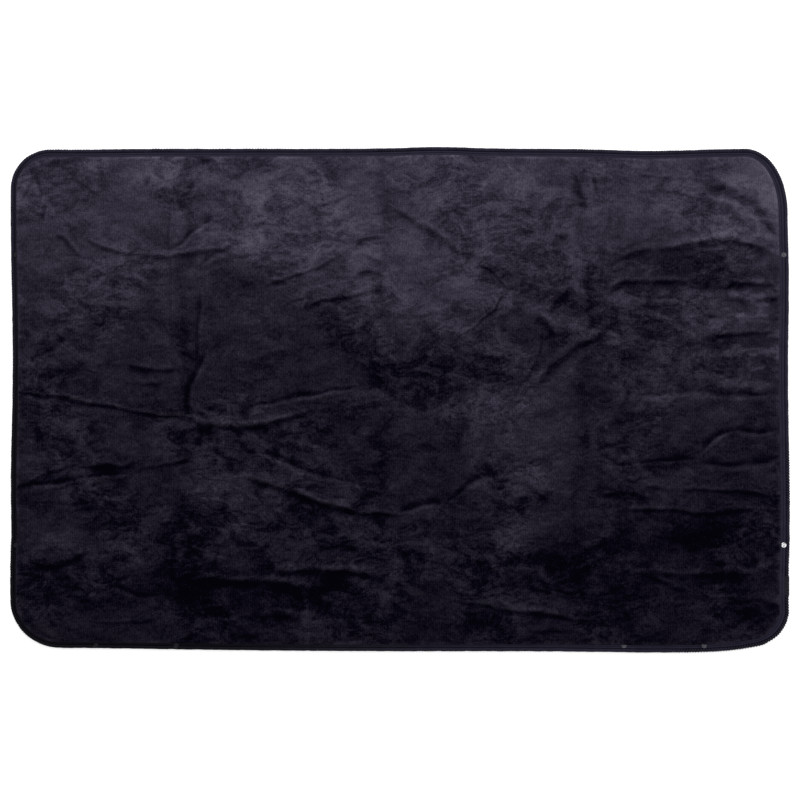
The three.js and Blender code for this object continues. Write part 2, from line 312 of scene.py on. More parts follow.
from_rim = rim_distance(plush_xy)
X, Y = plush_xy[..., 0], plush_xy[..., 1]

# Creases in the pile: points along it in mm, height of its ridge in mm, width in mm, how dark the painted
# shadow at its foot is from 0 to 1, side of the ridge (1 is left of the way it runs)
CREASES = [
    # upper left
    ([(-795, 385), (-760, 360), (-730, 330)], 0.8, 8, 0.7, 1),
    ([(-715, 365), (-665, 345), (-600, 340), (-525, 325)], 1.6, 7, 0.9, 1),
    ([(-530, 330), (-460, 340), (-420, 345), (-375, 360)], 1.4, 8, 0.9, 1),
    ([(-515, 350), (-485, 380), (-460, 405), (-425, 425)], 1.2, 8, 0.8, -1),
    ([(-460, 310), (-435, 330), (-375, 360)], 0.8, 7, 0.7, -1),
    ([(-525, 450), (-530, 360), (-525, 250), (-530, 185)], 0.5, 5, 0.5, 1),
    ([(-460, 260), (-465, 190), (-465, 120), (-470, 70)], 0.8, 7, 0.5, 1),
    ([(-450, 110), (-465, 65), (-490, 20), (-490, -35)], 1.0, 8, 0.8, 1),
    ([(-530, 95), (-510, 60), (-500, 25), (-490, -30)], 0.7, 7, 0.6, -1),
    ([(-505, 115), (-485, 100), (-460, 90)], 0.5, 7, 0.6, 1),
    ([(-630, 80), (-590, 70), (-515, 70)], 1.0, 9, 1.0, 1),
    ([(-620, 40), (-590, 35), (-545, 40)], 0.8, 9, 0.8, 1),
    ([(-860, 85), (-810, 110), (-765, 145)], 0.8, 9, 0.7, -1),
    ([(-305, 265), (-265, 275), (-215, 300), (-180, 310), (-135, 335)], 1.4, 6, 0.8, 1),
    ([(-205, 220), (-175, 230), (-115, 240), (-60, 250)], 1.4, 7, 0.9, 1),
    ([(-215, 440), (-160, 455), (-110, 475)], 0.9, 6, 0.7, 1),
    ([(-210, 505), (-180, 510)], 0.5, 6, 0.6, 1),
    ([(-100, 350), (-70, 370), (-35, 375)], 0.6, 7, 0.6, -1),
    ([(-100, 335), (-70, 330), (-40, 320)], 0.7, 8, 0.7, 1),
    ([(-95, 290), (-60, 295), (-40, 290)], 0.7, 8, 0.8, 1),
    ([(-575, 520), (-585, 490)], 0.4, 7, 0.6, 1),
    ([(-500, 530), (-460, 545), (-425, 550)], 0.5, 10, 0.7, -1),
    ([(-845, 520), (-835, 490), (-825, 470)], 0.9, 7, 0.8, -1),
    ([(-870, 460), (-860, 490), (-845, 520)], 0.9, 9, 0.7, 1),
    ([(-815, 450), (-820, 420)], 0.5, 6, 0.6, 1),
    # upper right
    ([(-10, 440), (35, 410), (75, 390), (115, 355), (155, 335), (200, 330)],
     1.5, 12, 0.9, 1),
    ([(175, 320), (215, 295), (250, 255)], 0.8, 5, 0.7, 1),
    ([(250, 255), (220, 220), (215, 205), (170, 170), (120, 135)], 0.9, 4, 0.8, -1),
    ([(480, 310), (520, 335), (580, 345), (640, 355), (695, 360), (755, 370),
      (810, 360), (880, 330)], 2.2, 11, 1.0, 1),
    ([(745, 380), (800, 375), (875, 350)], 0.8, 6, 0.6, 1),
    ([(475, 240), (500, 265), (550, 275), (610, 275), (680, 270)], 1.4, 9, 0.9, 1),
    ([(740, 260), (800, 270), (870, 265)], 1.4, 9, 0.8, 1),
    ([(735, 230), (800, 230), (875, 240)], 1.2, 9, 0.8, 1),
    ([(690, 200), (760, 190), (870, 190)], 1.4, 8, 0.7, 1),
    ([(700, 150), (780, 150), (875, 160)], 1.4, 8, 0.8, 1),
    ([(720, 480), (760, 475), (805, 445), (840, 400), (865, 380)], 2.6, 16, 1.0, -1),
    ([(800, 460), (830, 430), (850, 385)], 1.6, 8, 0.8, -1),
    ([(770, 450), (800, 420), (810, 390)], 1.0, 9, 0.6, -1),
    ([(410, 510), (415, 480), (430, 440)], 0.9, 14, 0.9, 1),
    ([(445, 510), (450, 480)], 0.6, 8, 0.8, -1),
    ([(355, 385), (390, 380)], 0.4, 9, 0.7, 1),
    ([(320, 195), (340, 175), (360, 150)], 1.0, 13, 1.0, 1),
    ([(345, 205), (370, 235), (395, 270)], 0.6, 13, 0.8, 1),
    ([(320, 195), (330, 140), (310, 80), (290, 40)], 0.8, 5, 0.5, -1),
    ([(315, 35), (350, 85), (395, 115), (440, 140), (495, 175)], 1.4, 13, 0.8, 1),
    ([(500, 95), (550, 100), (600, 85)], 0.6, 6, 0.5, 1),
    ([(545, 520), (610, 515), (720, 505)], 0.7, 6, 0.6, 1),
    ([(705, 530), (760, 550)], 0.5, 9, 0.6, 1),
    ([(235, 295), (285, 295)], 0.5, 10, 0.6, 1),
    ([(560, 10), (660, 20), (760, 10), (865, 15)], 1.2, 9, 0.6, -1),
    # lower left
    ([(-960, 30), (-810, 10), (-695, -10), (-600, -25), (-470, -45)], 2.6, 6, 1.0, 1),
    ([(-485, -45), (-445, -60), (-405, -60), (-345, -65), (-300, -55), (-205, -25)],
     2.6, 9, 1.0, 1),
    ([(-330, -15), (-235, 10), (-115, 30), (-85, 20)], 1.8, 7, 0.9, -1),
    ([(-460, -60), (-440, -65), (-420, -60)], 0.6, 13, 1.0, 1),
    ([(-370, -100), (-350, -110), (-330, -110)], 0.6, 15, 0.8, 1),
    ([(-330, -115), (-275, -135), (-205, -170), (-115, -190), (-60, -200)], 1.2, 9, 0.7, -1),
    ([(-360, -180), (-320, -190), (-260, -205), (-205, -230), (-145, -250), (-85, -260),
      (0, -265)], 3.4, 9, 1.0, 1),
    ([(0, -260), (35, -245), (70, -235), (105, -235)], 1.4, 10, 1.0, -1),
    ([(105, -235), (145, -205), (190, -175), (235, -170), (290, -165)], 1.4, 8, 0.7, -1),
    ([(-865, -200), (-820, -170), (-765, -150), (-735, -150)], 0.9, 5, 0.7, 1),
    ([(-720, -155), (-680, -150), (-635, -150), (-610, -145)], 1.2, 9, 1.0, 1),
    ([(-900, -205), (-795, -190), (-735, -180), (-680, -170), (-615, -165)], 1.6, 8, 0.9, -1),
    ([(-615, -165), (-555, -150), (-510, -145), (-480, -130)], 1.2, 7, 0.8, 1),
    ([(-855, -370), (-810, -385), (-775, -375), (-720, -350)], 1.2, 9, 0.8, 1),
    ([(-485, -420), (-435, -410), (-375, -420), (-290, -420), (-230, -430)], 2.0, 12, 1.0, 1),
    ([(-280, -395), (-205, -395), (-115, -395), (-40, -410)], 2.0, 13, 1.0, 1),
    ([(-325, -340), (-300, -330)], 0.6, 9, 0.8, 1),
    ([(-735, -510), (-665, -515), (-600, -510), (-550, -500)], 0.9, 6, 0.6, 1),
    ([(-655, -430), (-600, -455), (-550, -450)], 0.8, 7, 0.6, -1),
    ([(-520, -310), (-510, -350), (-530, -400), (-490, -440)], 0.8, 12, 0.5, 1),
    ([(-300, -490), (-260, -500), (-220, -500)], 0.7, 12, 0.7, 1),
    ([(-870, -480), (-835, -520), (-795, -550)], 1.0, 13, 0.8, 1),
    ([(-805, -505), (-790, -515)], 0.4, 10, 0.8, 1),
    # lower right
    ([(250, -195), (300, -200), (330, -240)], 0.8, 11, 0.6, -1),
    ([(455, -120), (490, -105), (535, -95)], 0.8, 7, 0.6, -1),
    ([(490, -155), (550, -145), (610, -140), (690, -135)], 1.6, 6, 0.8, -1),
    ([(695, -120), (725, -85), (760, -70), (805, -75), (875, -70)], 1.8, 8, 0.9, -1),
    ([(690, -140), (755, -155), (875, -135)], 1.4, 10, 0.8, -1),
    ([(500, -170), (535, -185), (580, -200), (665, -205), (755, -210), (875, -220)],
     1.2, 6, 0.7, 1),
    ([(475, -220), (520, -210), (590, -225)], 0.8, 7, 0.6, 1),
    ([(490, -255), (555, -255), (625, -250), (695, -265), (755, -255), (825, -250)],
     1.4, 8, 0.7, 1),
    ([(550, -400), (640, -405), (725, -400), (820, -400)], 1.6, 12, 0.6, 1),
    ([(555, -400), (610, -425), (665, -440)], 0.9, 8, 0.6, 1),
    ([(130, -465), (205, -475), (290, -490), (375, -500), (440, -510)], 1.8, 8, 0.8, 1),
    ([(145, -460), (195, -445), (245, -425)], 0.8, 8, 0.6, -1),
    ([(740, -465), (800, -460), (870, -470)], 1.0, 12, 0.7, 1),
    ([(290, -525), (340, -535), (420, -530)], 0.8, 9, 0.6, 1),
]
# Where the blanket was folded for packing: across at these X, and how sharp
PACKING_FOLDS = [(-0.492, 1.3), (-0.045, 0.9), (0.425, 1.0)]


def line_distance(points, x, y):
    """Distance to a broken line, positive on its left, and how far along it from 0 to 1."""
    starts = lengths_along(points)
    best = np.full(x.shape, 9.0)
    signed = np.zeros(x.shape)
    place = np.zeros(x.shape)
    for k, length in enumerate(np.diff(starts)):
        ax, ay = points[k]
        ex, ey = (points[k + 1] - points[k]) / length
        along = np.clip((x - ax) * ex + (y - ay) * ey, 0, length)
        dx, dy = x - ax - along * ex, y - ay - along * ey
        distance = np.hypot(dx, dy)
        side = np.where(ex * dy - ey * dx < 0, -1.0, 1.0)
        nearer = distance < best
        best = np.where(nearer, distance, best)
        signed = np.where(nearer, distance * side, signed)
        place = np.where(nearer, (starts[k] + along) / starts[-1], place)
    return signed, place


def noise_field(x, y, scale, seed, octaves=3):
    """Smooth noise from -1 to 1 with features about 1 / scale metres across."""
    out = np.zeros(x.size)
    for k, (px, py) in enumerate(zip(x.ravel(), y.ravel())):
        total, gain, f = 0.0, 1.0, scale
        for _ in range(octaves):
            total += gain * noise((px * f, py * f, seed))
            gain *= 0.5
            f *= 2.1
        out[k] = total
    return out.reshape(x.shape)


def rounded(points):
    """Cuts a broken line's corners, so that it bends smoothly."""
    for _ in range(2):
        early = 0.75 * points[:-1] + 0.25 * points[1:]
        late = 0.25 * points[:-1] + 0.75 * points[1:]
        between = np.stack([early, late], axis=1).reshape(-1, 2)
        points = np.vstack([points[:1], between, points[-1:]])
    return points


def crease_fields(x, y, wobble):
    """Height of all creases in metres, the shadow at their feet from 0 to 1 and the light on their ridges."""
    height, shade, lit = np.zeros(x.shape), np.zeros(x.shape), np.zeros(x.shape)
    bent_x, bent_y = x + wobble[0], y + wobble[1]
    for number, (points, ridge, width, dark, side) in enumerate(CREASES):
        line = rounded(np.array(points) * MM)
        reach = 6 * width * MM
        low, high = line.min(axis=0) - reach, line.max(axis=0) + reach
        near = (bent_x > low[0]) & (bent_x < high[0]) & (bent_y > low[1]) & (bent_y < high[1])
        signed, place = line_distance(line, bent_x[near], bent_y[near])
        length = lengths_along(line)[-1]
        uneven = np.array([noise((p * length * 16, 3.7 * number, 0.0)) for p in place])
        swell = smooth(place, -0.12, 0.17) * smooth(1 - place, -0.12, 0.17)
        strength = np.clip(swell * (1.0 + 0.7 * uneven), 0, 1.2)
        d = signed * side / (width * MM * (0.40 + 0.55 * swell + 0.3 * uneven))
        height[near] += ridge * MM * strength * (bump_at(d, 1.0, 1.0) - 0.6 * bump_at(d, -0.4, 0.6))
        foot = bump_at(d, -0.3, 0.62) + 0.35 * bump_at(d, -1.2, 1.0)
        shade[near] = np.maximum(shade[near], dark * strength * foot)
        lit[near] = np.maximum(lit[near], min(ridge / 2.2, 1.0) * strength * bump_at(d, 0.95, 0.55))
    for fold_x, sharp in PACKING_FOLDS:
        d = x - fold_x + 0.6 * wobble[0]
        height -= sharp * MM * (bump_at(d, 0, 0.006) - 0.4 * bump_at(d, 0.012, 0.01))
    return height, shade, lit


# Cloth simulation of the lining: a sheet a little too large for its bound edge, lying on the heater stack

SIM_U, SIM_V = 141, 91
SLACK = (0.0035, 0.0075)  # spare length along X and along Y
SIM_FRAMES = 26
SIM_GAP = 0.6 * MM


def simulated_sheet(verts, edge):
    """The lining with its spare length as the cloth's own size, bound along its edge."""
    mesh = bpy.data.meshes.new("lining_sim")
    mesh.from_pydata([tuple(v) for v in verts], [], grid_faces(SIM_U, SIM_V))
    sheet = link_object("lining_sim", mesh)
    sheet.shape_key_add(name="Basis")
    cut = sheet.shape_key_add(name="cut_size")
    for k, v in enumerate(verts):
        cut.data[k].co = (v[0] * (1 + SLACK[0]), v[1] * (1 + SLACK[1]), v[2])
    bound = sheet.vertex_groups.new(name="bound")
    bound.add([int(k) for k in np.flatnonzero(edge.ravel() < 4 * MM)], 1.0, "REPLACE")
    cloth = sheet.modifiers.new("Cloth", "CLOTH")
    cloth.settings.vertex_group_mass = "bound"
    cloth.settings.rest_shape_key = cut
    set_cloth(cloth)
    return sheet


def set_cloth(cloth):
    settings = cloth.settings
    settings.quality = 6
    settings.mass = 0.002
    settings.air_damping = 2
    settings.tension_stiffness = settings.compression_stiffness = 18
    settings.shear_stiffness = 6
    settings.bending_stiffness = 0.35
    settings.tension_damping = settings.compression_damping = 8
    cloth.collision_settings.distance_min = SIM_GAP
    cloth.collision_settings.use_self_collision = False
    cloth.point_cache.frame_start = 1
    cloth.point_cache.frame_end = SIM_FRAMES


def simulated_base():
    """The heater stack's flat top, for the lining to lie on."""
    base = add_square("stack_sim", 2)
    base.modifiers.new("Collision", "COLLISION")
    base.collision.thickness_outer = SIM_GAP
    base.collision.cloth_friction = 12
    return base


def sim_start(x, y, edge):
    """The lining's height before the simulation: its creases and a slow swell, flat at the bound edge."""
    wobble = (0.004 * noise_field(x, y, 14, 3.0, 2), 0.004 * noise_field(x, y, 14, 9.0, 2))
    start = 1.6 * crease_fields(x, y, wobble)[0]
    start += 0.7 * MM * noise_field(x, y * 1.7, 7, 21.0, 3)
    start *= smooth(edge, 0.0, 0.05)
    return start - start.min() + 0.5 * MM


def simulate_lining():
    """How far each point of a coarse grid moves from flat, as an array of SIM_V by SIM_U by 3."""
    grid = stretched_grid(plush_rim, np.linspace(0, 1, SIM_U), SIM_V)
    edge = rim_distance(grid)
    height = sim_start(grid[..., 0], grid[..., 1], edge)
    verts = np.concatenate([grid, height[..., None]], axis=2).reshape(-1, 3)
    sheet = simulated_sheet(verts, edge)
    base = simulated_base()
    scene = bpy.context.scene
    scene.frame_start, scene.frame_end = 1, SIM_FRAMES
    for step in range(1, SIM_FRAMES + 1):
        scene.frame_set(step)
    result = sheet.evaluated_get(bpy.context.evaluated_depsgraph_get())
    moved = np.empty(verts.size)
    result.data.vertices.foreach_get("co", moved)
    moved = moved.reshape(-1, 3)
    moved[:, :2] -= verts[:, :2]
    scene.frame_set(1)
    bpy.data.objects.remove(sheet)
    bpy.data.objects.remove(base)
    return moved.reshape(SIM_V, SIM_U, 3)


def cubic_rows(values, places):
    """Values at places from 0 to 1 along the first axis, by Catmull-Rom curves."""
    at = places * (len(values) - 1)
    k = np.clip(at.astype(int), 0, len(values) - 2)
    t = (at - k).reshape(-1, *[1] * (values.ndim - 1))
    p = [values[np.clip(k + o, 0, len(values) - 1)] for o in (-1, 0, 1, 2)]
    return 0.5 * (
        2 * p[1]
        + (p[2] - p[0]) * t
        + (2 * p[0] - 5 * p[1] + 4 * p[2] - p[3]) * t**2
        + (3 * p[1] - p[0] - 3 * p[2] + p[3]) * t**3
    )


def to_fine(values):
    rows = cubic_rows(values, np.linspace(0, 1, NV))
    return cubic_rows(rows.swapaxes(0, 1), column_places(NU)).swapaxes(0, 1)


# Broad sweeps of brushed pile, one of them painted shade: middle, spread along X and Y, lighter or darker
SWEEPS = [
    (-0.25, 0.40, 0.20, 0.15, 0.12),
    (0.05, 0.25, 0.15, 0.15, 0.14),
    (0.30, -0.05, 0.15, 0.15, 0.15),
    (0.85, 0.50, 0.10, 0.10, 0.25),
    (-0.15, 0.10, 0.25, 0.10, -0.08),
    # painted shade: a dark band along the foot of the long crease just above it
    (0.65, 0.30, 0.20, 0.05, -0.20),
    (0.45, -0.40, 0.15, 0.10, -0.12),
    (-0.35, -0.45, 0.25, 0.05, -0.12),
]
HAND_MARKS = 90
HAND_MARK_SEED = 5
HAND_MARK_LENGTH = (0.025, 0.10)
HAND_MARK_TONE = (-0.15, 0.15)
# Where the right end is drawn up, so that the pile glints between its short wrinkles
GATHERED_MIDDLE, GATHERED_SPREAD = (0.80, 0.15), (0.10, 0.15)


def patch(x, y, middle, spread):
    """A soft-edged oval: 1 in its middle, 0 well outside."""
    away = ((x - middle[0]) / spread[0]) ** 2 + ((y - middle[1]) / spread[1]) ** 2
    return np.exp(-(away**1.6))


def hand_marks(x, y):
    """Marks that hands leave in the pile: ovals anywhere on it, brushed lighter or darker."""
    pick = np.random.default_rng(HAND_MARK_SEED)
    reach = (x.max(), y.max())
    tone = np.zeros(x.shape)
    for _ in range(HAND_MARKS):
        middle = (pick.uniform(-reach[0], reach[0]), pick.uniform(-reach[1], reach[1]))
        length = pick.uniform(*HAND_MARK_LENGTH)
        width = length * pick.uniform(0.3, 0.7)
        tone += pick.uniform(*HAND_MARK_TONE) * patch(x, y, middle, (length, width))
    return tone


def pile_tone(x, y, lit):
    """How light the pile looks, from 0 to 1: zones that get lighter towards the top, partly by the way the
    pile lies and partly as painted light from above, brushed areas, painted shade along the packing folds,
    painted glints at the gathered end and painted highlights on the creases' ridges.
    """
    warp_x = 0.030 * noise_field(x, y, 6, 41.0, 3) + 0.010 * noise_field(x, y, 30, 43.0, 2)
    warp_y = 0.030 * noise_field(x, y, 6, 57.0, 3) + 0.010 * noise_field(x, y, 30, 59.0, 2)
    wx, wy = x + warp_x, y + warp_y
    # lighter towards the top: partly the way the pile lies, partly painted light from above
    tone = 0.19 + 0.09 * smooth(wy, -0.6, 0.0) + 0.31 * smooth(wy, -0.05, 0.5)
    for middle_x, middle_y, spread_x, spread_y, amount in SWEEPS:
        tone = tone + amount * patch(wx, wy, (middle_x, middle_y), (spread_x, spread_y))
    tone = tone + hand_marks(wx, wy)
    # painted shade along the packing folds' creases
    for fold_x, sharp in PACKING_FOLDS:
        tone = tone - 0.08 * sharp * bump_at(wx, fold_x, 0.015)
    glints = smooth(noise_field(x, 2 * y, 20, 83.0, 2), 0.10, 0.35)
    tone = tone + 0.30 * glints * patch(x, y, GATHERED_MIDDLE, GATHERED_SPREAD)
    return 0.94 * tone + 0.18 * lit


PILE = 3.4 * MM
RELIEF_RANGE = (-2.2 * MM, 8.5 * MM)
COARSE = 4  # cells of the top along each cell of the underside


def plush_relief():
    """How far the lining moves from flat, the shadow at its creases' feet and the light on their ridges."""
    wobble = (0.006 * noise_field(X, Y, 16, 3.0, 4), 0.006 * noise_field(X, Y, 16, 9.0, 4))
    creases, shade, lit = crease_fields(X, Y, wobble)
    moved = np.zeros((NV, NU, 3))
    moved = to_fine(simulate_lining())
    moved[..., 2] -= np.median(moved[..., 2])
    creases = 0.5 * creases
    moved[..., 2] = np.clip(moved[..., 2] + creases + 0.5 * MM * noise_field(X, Y, 9, 71.0, 3), *RELIEF_RANGE)
    return moved * smooth(from_rim, 0.002, 0.05)[..., None], shade, lit


def plush_top(moved):
    """Points of the pile's surface, rising from the bound rim."""
    pile_edge = PILE * np.sqrt(1 - (1 - np.clip(from_rim / 0.004, 0, 1)) ** 2)
    body = (PLUSH_TOP - PLUSH_RIM_Z - PILE) * smooth(from_rim, 0.0, 0.028)
    z = PLUSH_RIM_Z + pile_edge + body + moved[..., 2]
    z = np.maximum(z, np.where(from_rim > 0.003, STACK_TOP + 1.2 * MM, PLUSH_RIM_Z))
    return np.stack([X + moved[..., 0], Y + moved[..., 1], z], axis=-1)


def underside_points():
    """Which points of the top the underside has too: a coarser grid and the whole rim."""
    coarse = {j * NU + i for j in range(0, NV, COARSE) for i in range(0, NU, COARSE)}
    return sorted(coarse | set(grid_rim(NU, NV)))


def underside_faces(number):
    """Faces of the coarser grid. Its outermost cells take in every point of the rim."""
    over, up = COARSE, COARSE * NU
    faces = []
    for row in range(0, (NV - 1) * NU, up):
        for k in range(row, row + NU - 1, over):
            ring = [*range(k, k + over), *range(k + over, k + over + up, NU)]
            ring += [*range(k + over + up, k + up, -1), *range(k + up, k, -NU)]
            faces.append(tuple(number[point] for point in ring if point in number)[::-1])
    return faces


def make_plush(material):
    moved, shade, lit = plush_relief()
    # painted highlight where the pile's fuzz catches the light along the rim, strongest towards the lower
    # right
    rim_highlight = np.clip(0.10 + 0.16 * noise_field(X, Y, 24, 77.0, 3), 0, 0.25)
    rim_highlight *= 1 + 0.8 * smooth(X, 0.3, 0.8) * smooth(-Y, 0.1, 0.4)
    tone = pile_tone(X, Y, lit) + rim_highlight * bump_at(from_rim, 0.002, 0.0045)
    top = plush_top(moved)
    under_z = np.where(from_rim < 0.006, BAND_TOP - MM, STACK_TOP + 0.1 * MM)
    under_z = np.minimum(under_z, top[..., 2] - 0.4 * MM)
    both = underside_points()
    under = np.concatenate([top[..., :2], under_z[..., None]], axis=2).reshape(-1, 3)[both]
    verts = np.vstack([top.reshape(-1, 3), under])
    number = {point: NU * NV + k for k, point in enumerate(both)}
    rim = grid_rim(NU, NV)
    faces = grid_faces(NU, NV) + underside_faces(number)
    faces += [(a, number[a], number[b], b) for a, b in zip(rim, rim[1:] + rim[:1])]
    piece = add_object("plush_lining", verts, faces, material)
    add_attribute(piece, "tone", "FLOAT", "value", np.concatenate([tone.ravel(), np.full(len(under), 0.3)]))
    add_attribute(piece, "shade", "FLOAT", "value", np.concatenate([shade.ravel(), np.zeros(len(under))]))
    add_attribute(piece, "flat_place", "FLOAT_VECTOR", "vector", verts * (1, 1, 0))
    return piece


# Materials


class Nodes:
    """Short ways to add the nodes of one material."""

    def __init__(self, name):
        self.material = bpy.data.materials.new(name)
        self.material.use_nodes = True
        self.tree = self.material.node_tree
        self.shader = self.tree.nodes["Principled BSDF"]

    def add(self, kind, **values):
        node = self.tree.nodes.new(kind)
        for key, value in values.items():
            setattr(node, key, value)
        return node

    def link(self, out, into):
        self.tree.links.new(out, into)

    def place(self):
        return self.attribute("flat_place", "Vector")

    def object_place(self):
        return self.add("ShaderNodeTexCoord").outputs["Object"]

    def stretched(self, vector, scale):
        mapping = self.add("ShaderNodeMapping")
        mapping.inputs["Scale"].default_value = scale
        self.link(vector, mapping.inputs["Vector"])
        return mapping.outputs["Vector"]

    def noise(self, vector, scale, detail=3.0, roughness=0.5, distortion=0.0):
        node = self.add("ShaderNodeTexNoise")
        node.inputs["Scale"].default_value = scale
        node.inputs["Detail"].default_value = detail
        node.inputs["Roughness"].default_value = roughness
        node.inputs["Distortion"].default_value = distortion
        self.link(vector, node.inputs["Vector"])
        return node.outputs["Fac"]

    def wave(self, vector, scale, direction="X", distortion=0.0, detail_scale=1.0):
        node = self.add("ShaderNodeTexWave", bands_direction=direction)
        node.inputs["Scale"].default_value = scale
        node.inputs["Distortion"].default_value = distortion
        node.inputs["Detail"].default_value = 2.0
        node.inputs["Detail Scale"].default_value = detail_scale
        self.link(vector, node.inputs["Vector"])
        return node.outputs["Fac"]

    def maths(self, operation, a, b, clamp=False):
        node = self.add("ShaderNodeMath", operation=operation, use_clamp=clamp)
        for socket, value in zip(node.inputs, (a, b)):
            if isinstance(value, (int, float)):
                socket.default_value = value
            else:
                self.link(value, socket)
        return node.outputs["Value"]

    def attribute(self, name, output="Fac"):
        return self.add("ShaderNodeAttribute", attribute_name=name).outputs[output]

    def to(self, socket, value):
        self.link(value, self.shader.inputs[socket])

    def around(self, value, amount):
        """(value - 0.5) * amount"""
        return self.maths("MULTIPLY", self.maths("SUBTRACT", value, 0.5), amount)

    def step(self, value, low, high):
        """0 before low and 1 past high, with a smooth change between them. low may be the larger."""
        node = self.add("ShaderNodeMapRange", interpolation_type="SMOOTHSTEP")
        node.inputs["From Min"].default_value = low
        node.inputs["From Max"].default_value = high
        self.link(value, node.inputs["Value"])
        return node.outputs["Result"]

    def ramp(self, value, stops):
        node = self.add("ShaderNodeValToRGB")
        elements = node.color_ramp.elements
        while len(elements) < len(stops):
            elements.new(0.5)
        for element, (at, colour) in zip(elements, stops):
            element.position = at
            element.color = (*colour, 1.0)
        self.link(value, node.inputs["Fac"])
        return node.outputs["Color"]

    def bump(self, height, distance, strength=1.0, under=None):
        node = self.add("ShaderNodeBump")
        node.inputs["Strength"].default_value = strength
        node.inputs["Distance"].default_value = distance
        self.link(height, node.inputs["Height"])
        if under:
            self.link(under, node.inputs["Normal"])
        return node.outputs["Normal"]

    def set(self, **values):
        for name, value in values.items():
            self.shader.inputs[name.replace("_", " ")].default_value = value


PLUSH_STOPS = [
    (0.00, (0.0002, 0.0001, 0.0018)),
    (0.08, (0.0015, 0.0008, 0.0044)),
    (0.16, (0.0038, 0.0027, 0.0078)),
    (0.26, (0.0080, 0.0065, 0.0130)),
    (0.40, (0.0150, 0.0127, 0.0218)),
    (0.56, (0.0280, 0.0239, 0.0388)),
    (0.75, (0.0500, 0.0430, 0.0650)),
    (1.00, (0.0860, 0.0760, 0.1060)),
]


def pile_areas(n, place):
    """Crushed and brushed areas with grainy edges, and thin partings, fainter where the pile is calm."""
    crushed = n.noise(n.stretched(place, (1.0, 1.4, 1.0)), 9.0, 9.0, 0.74, 0.8)
    brushed = n.noise(n.stretched(place, (0.8, 1.5, 1.0)), 30.0, 7.0, 0.74, 1.4)
    calm = n.step(n.noise(place, 4.0, 2.0, 0.5, 0.5), 0.62, 0.40)
    lying = n.around(n.step(crushed, 0.42, 0.58), 0.20)
    lying = n.maths("ADD", lying, n.around(n.step(brushed, 0.40, 0.58), 0.17))
    lying = n.maths("MULTIPLY", lying, n.maths("ADD", 0.45, n.maths("MULTIPLY", calm, 0.75)))
    contour = n.noise(n.stretched(place, (1.0, 1.6, 1.0)), 20.0, 5.0, 0.62, 1.3)
    partings = n.step(n.maths("ABSOLUTE", n.maths("SUBTRACT", contour, 0.5), 0), 0.016, 0.0)
    return n.maths("SUBTRACT", lying, n.maths("MULTIPLY", n.maths("MULTIPLY", partings, 0.12), calm))


def crease_feet(n, smudges, strokes):
    """The shadow along a crease's foot, with ragged edges."""
    shade = n.attribute("shade")
    ragged = n.maths("ADD", shade, n.maths("ADD", n.around(smudges, 1.5), n.around(strokes, 0.9)))
    return n.maths("MULTIPLY", n.step(ragged, 0.0, 1.15), n.step(shade, 0.0, 0.34))


def plush_material():
    """Pile that looks lighter or darker by the way it lies, in tufts, strokes, flecks and brushed areas, over
    the painted light and shade in its tone attribute, with painted shadow along the creases' feet.
    """
    n = Nodes("plush")
    place = n.place()
    tone = n.attribute("tone")
    clouds = n.noise(n.stretched(place, (1.0, 1.3, 1.0)), 14.0, 6.0, 0.62, 0.8)
    smudges = n.noise(n.stretched(place, (1.0, 1.6, 1.0)), 44.0, 5.0, 0.70, 1.0)
    streaks = n.noise(n.stretched(place, (0.35, 1.0, 1.0)), 34.0, 5.0, 0.66, 0.9)
    strokes = n.noise(n.stretched(place, (2.2, 1.0, 1.0)), 120.0, 3.0, 0.6, 0.4)
    tufts = n.noise(place, 330.0, 2.0, 0.7)
    ribs = n.wave(place, 62.0, "X", 1.6, 3.0)
    layers = ((clouds, 0.34), (smudges, 0.36), (streaks, 0.28), (strokes, 0.46), (tufts, 0.52), (ribs, 0.06))
    for value, amount in layers:
        tone = n.maths("ADD", tone, n.around(value, amount))
    tone = n.maths("ADD", tone, pile_areas(n, place))
    tone = n.maths("SUBTRACT", tone, n.maths("MULTIPLY", crease_feet(n, smudges, strokes), 0.25))
    n.to("Base Color", n.ramp(tone, PLUSH_STOPS))
    n.to("Roughness", n.maths("ADD", 0.85, n.around(smudges, 0.25), clamp=True))
    rows = n.bump(ribs, 0.0004, 0.35, n.bump(tufts, 0.0012, 0.8))
    n.to("Normal", n.bump(smudges, 0.0028, 0.6, rows))
    n.set(Sheen_Weight=0.10, Sheen_Roughness=0.3, Sheen_Tint=(0.62, 0.56, 0.78, 1.0))
    n.set(Specular_IOR_Level=0.02)
    return n.material


def binding_material(name, stops, weave_pitch):
    """Woven nylon: fine crossed ribs, a little uneven in colour, with painted shade in folds and grooves and
    painted light and shade along the edge, from its shade attribute.
    """
    n = Nodes(name)
    place = n.place()
    patches = n.noise(place, 35.0, 4.0, 0.6)
    fibres = n.noise(place, 900.0, 2.0, 0.6)
    warp = n.wave(place, 0.05 / weave_pitch, "X")
    weft = n.wave(place, 0.05 / weave_pitch, "Y")
    weave = n.maths("MULTIPLY", warp, weft)
    tone = n.maths("ADD", n.maths("MULTIPLY", patches, 0.7), n.maths("MULTIPLY", fibres, 0.3))
    tone = n.maths("ADD", tone, n.around(weave, 0.12))
    shaded = n.add("ShaderNodeVectorMath", operation="SCALE")
    n.link(n.ramp(tone, stops), shaded.inputs["Vector"])
    n.link(n.maths("SUBTRACT", 1.0, n.attribute("shade")), shaded.inputs["Scale"])
    n.to("Base Color", shaded.outputs["Vector"])
    n.to("Roughness", n.maths("ADD", 0.55, n.around(patches, 0.3), clamp=True))
    n.to("Normal", n.bump(fibres, 0.0003, 0.4, n.bump(weave, 0.0003, 0.5)))
    n.set(Sheen_Weight=0.06, Sheen_Roughness=0.35, Sheen_Tint=(0.7, 0.68, 0.9, 1.0))
    n.set(Specular_IOR_Level=0.05)
    return n.material


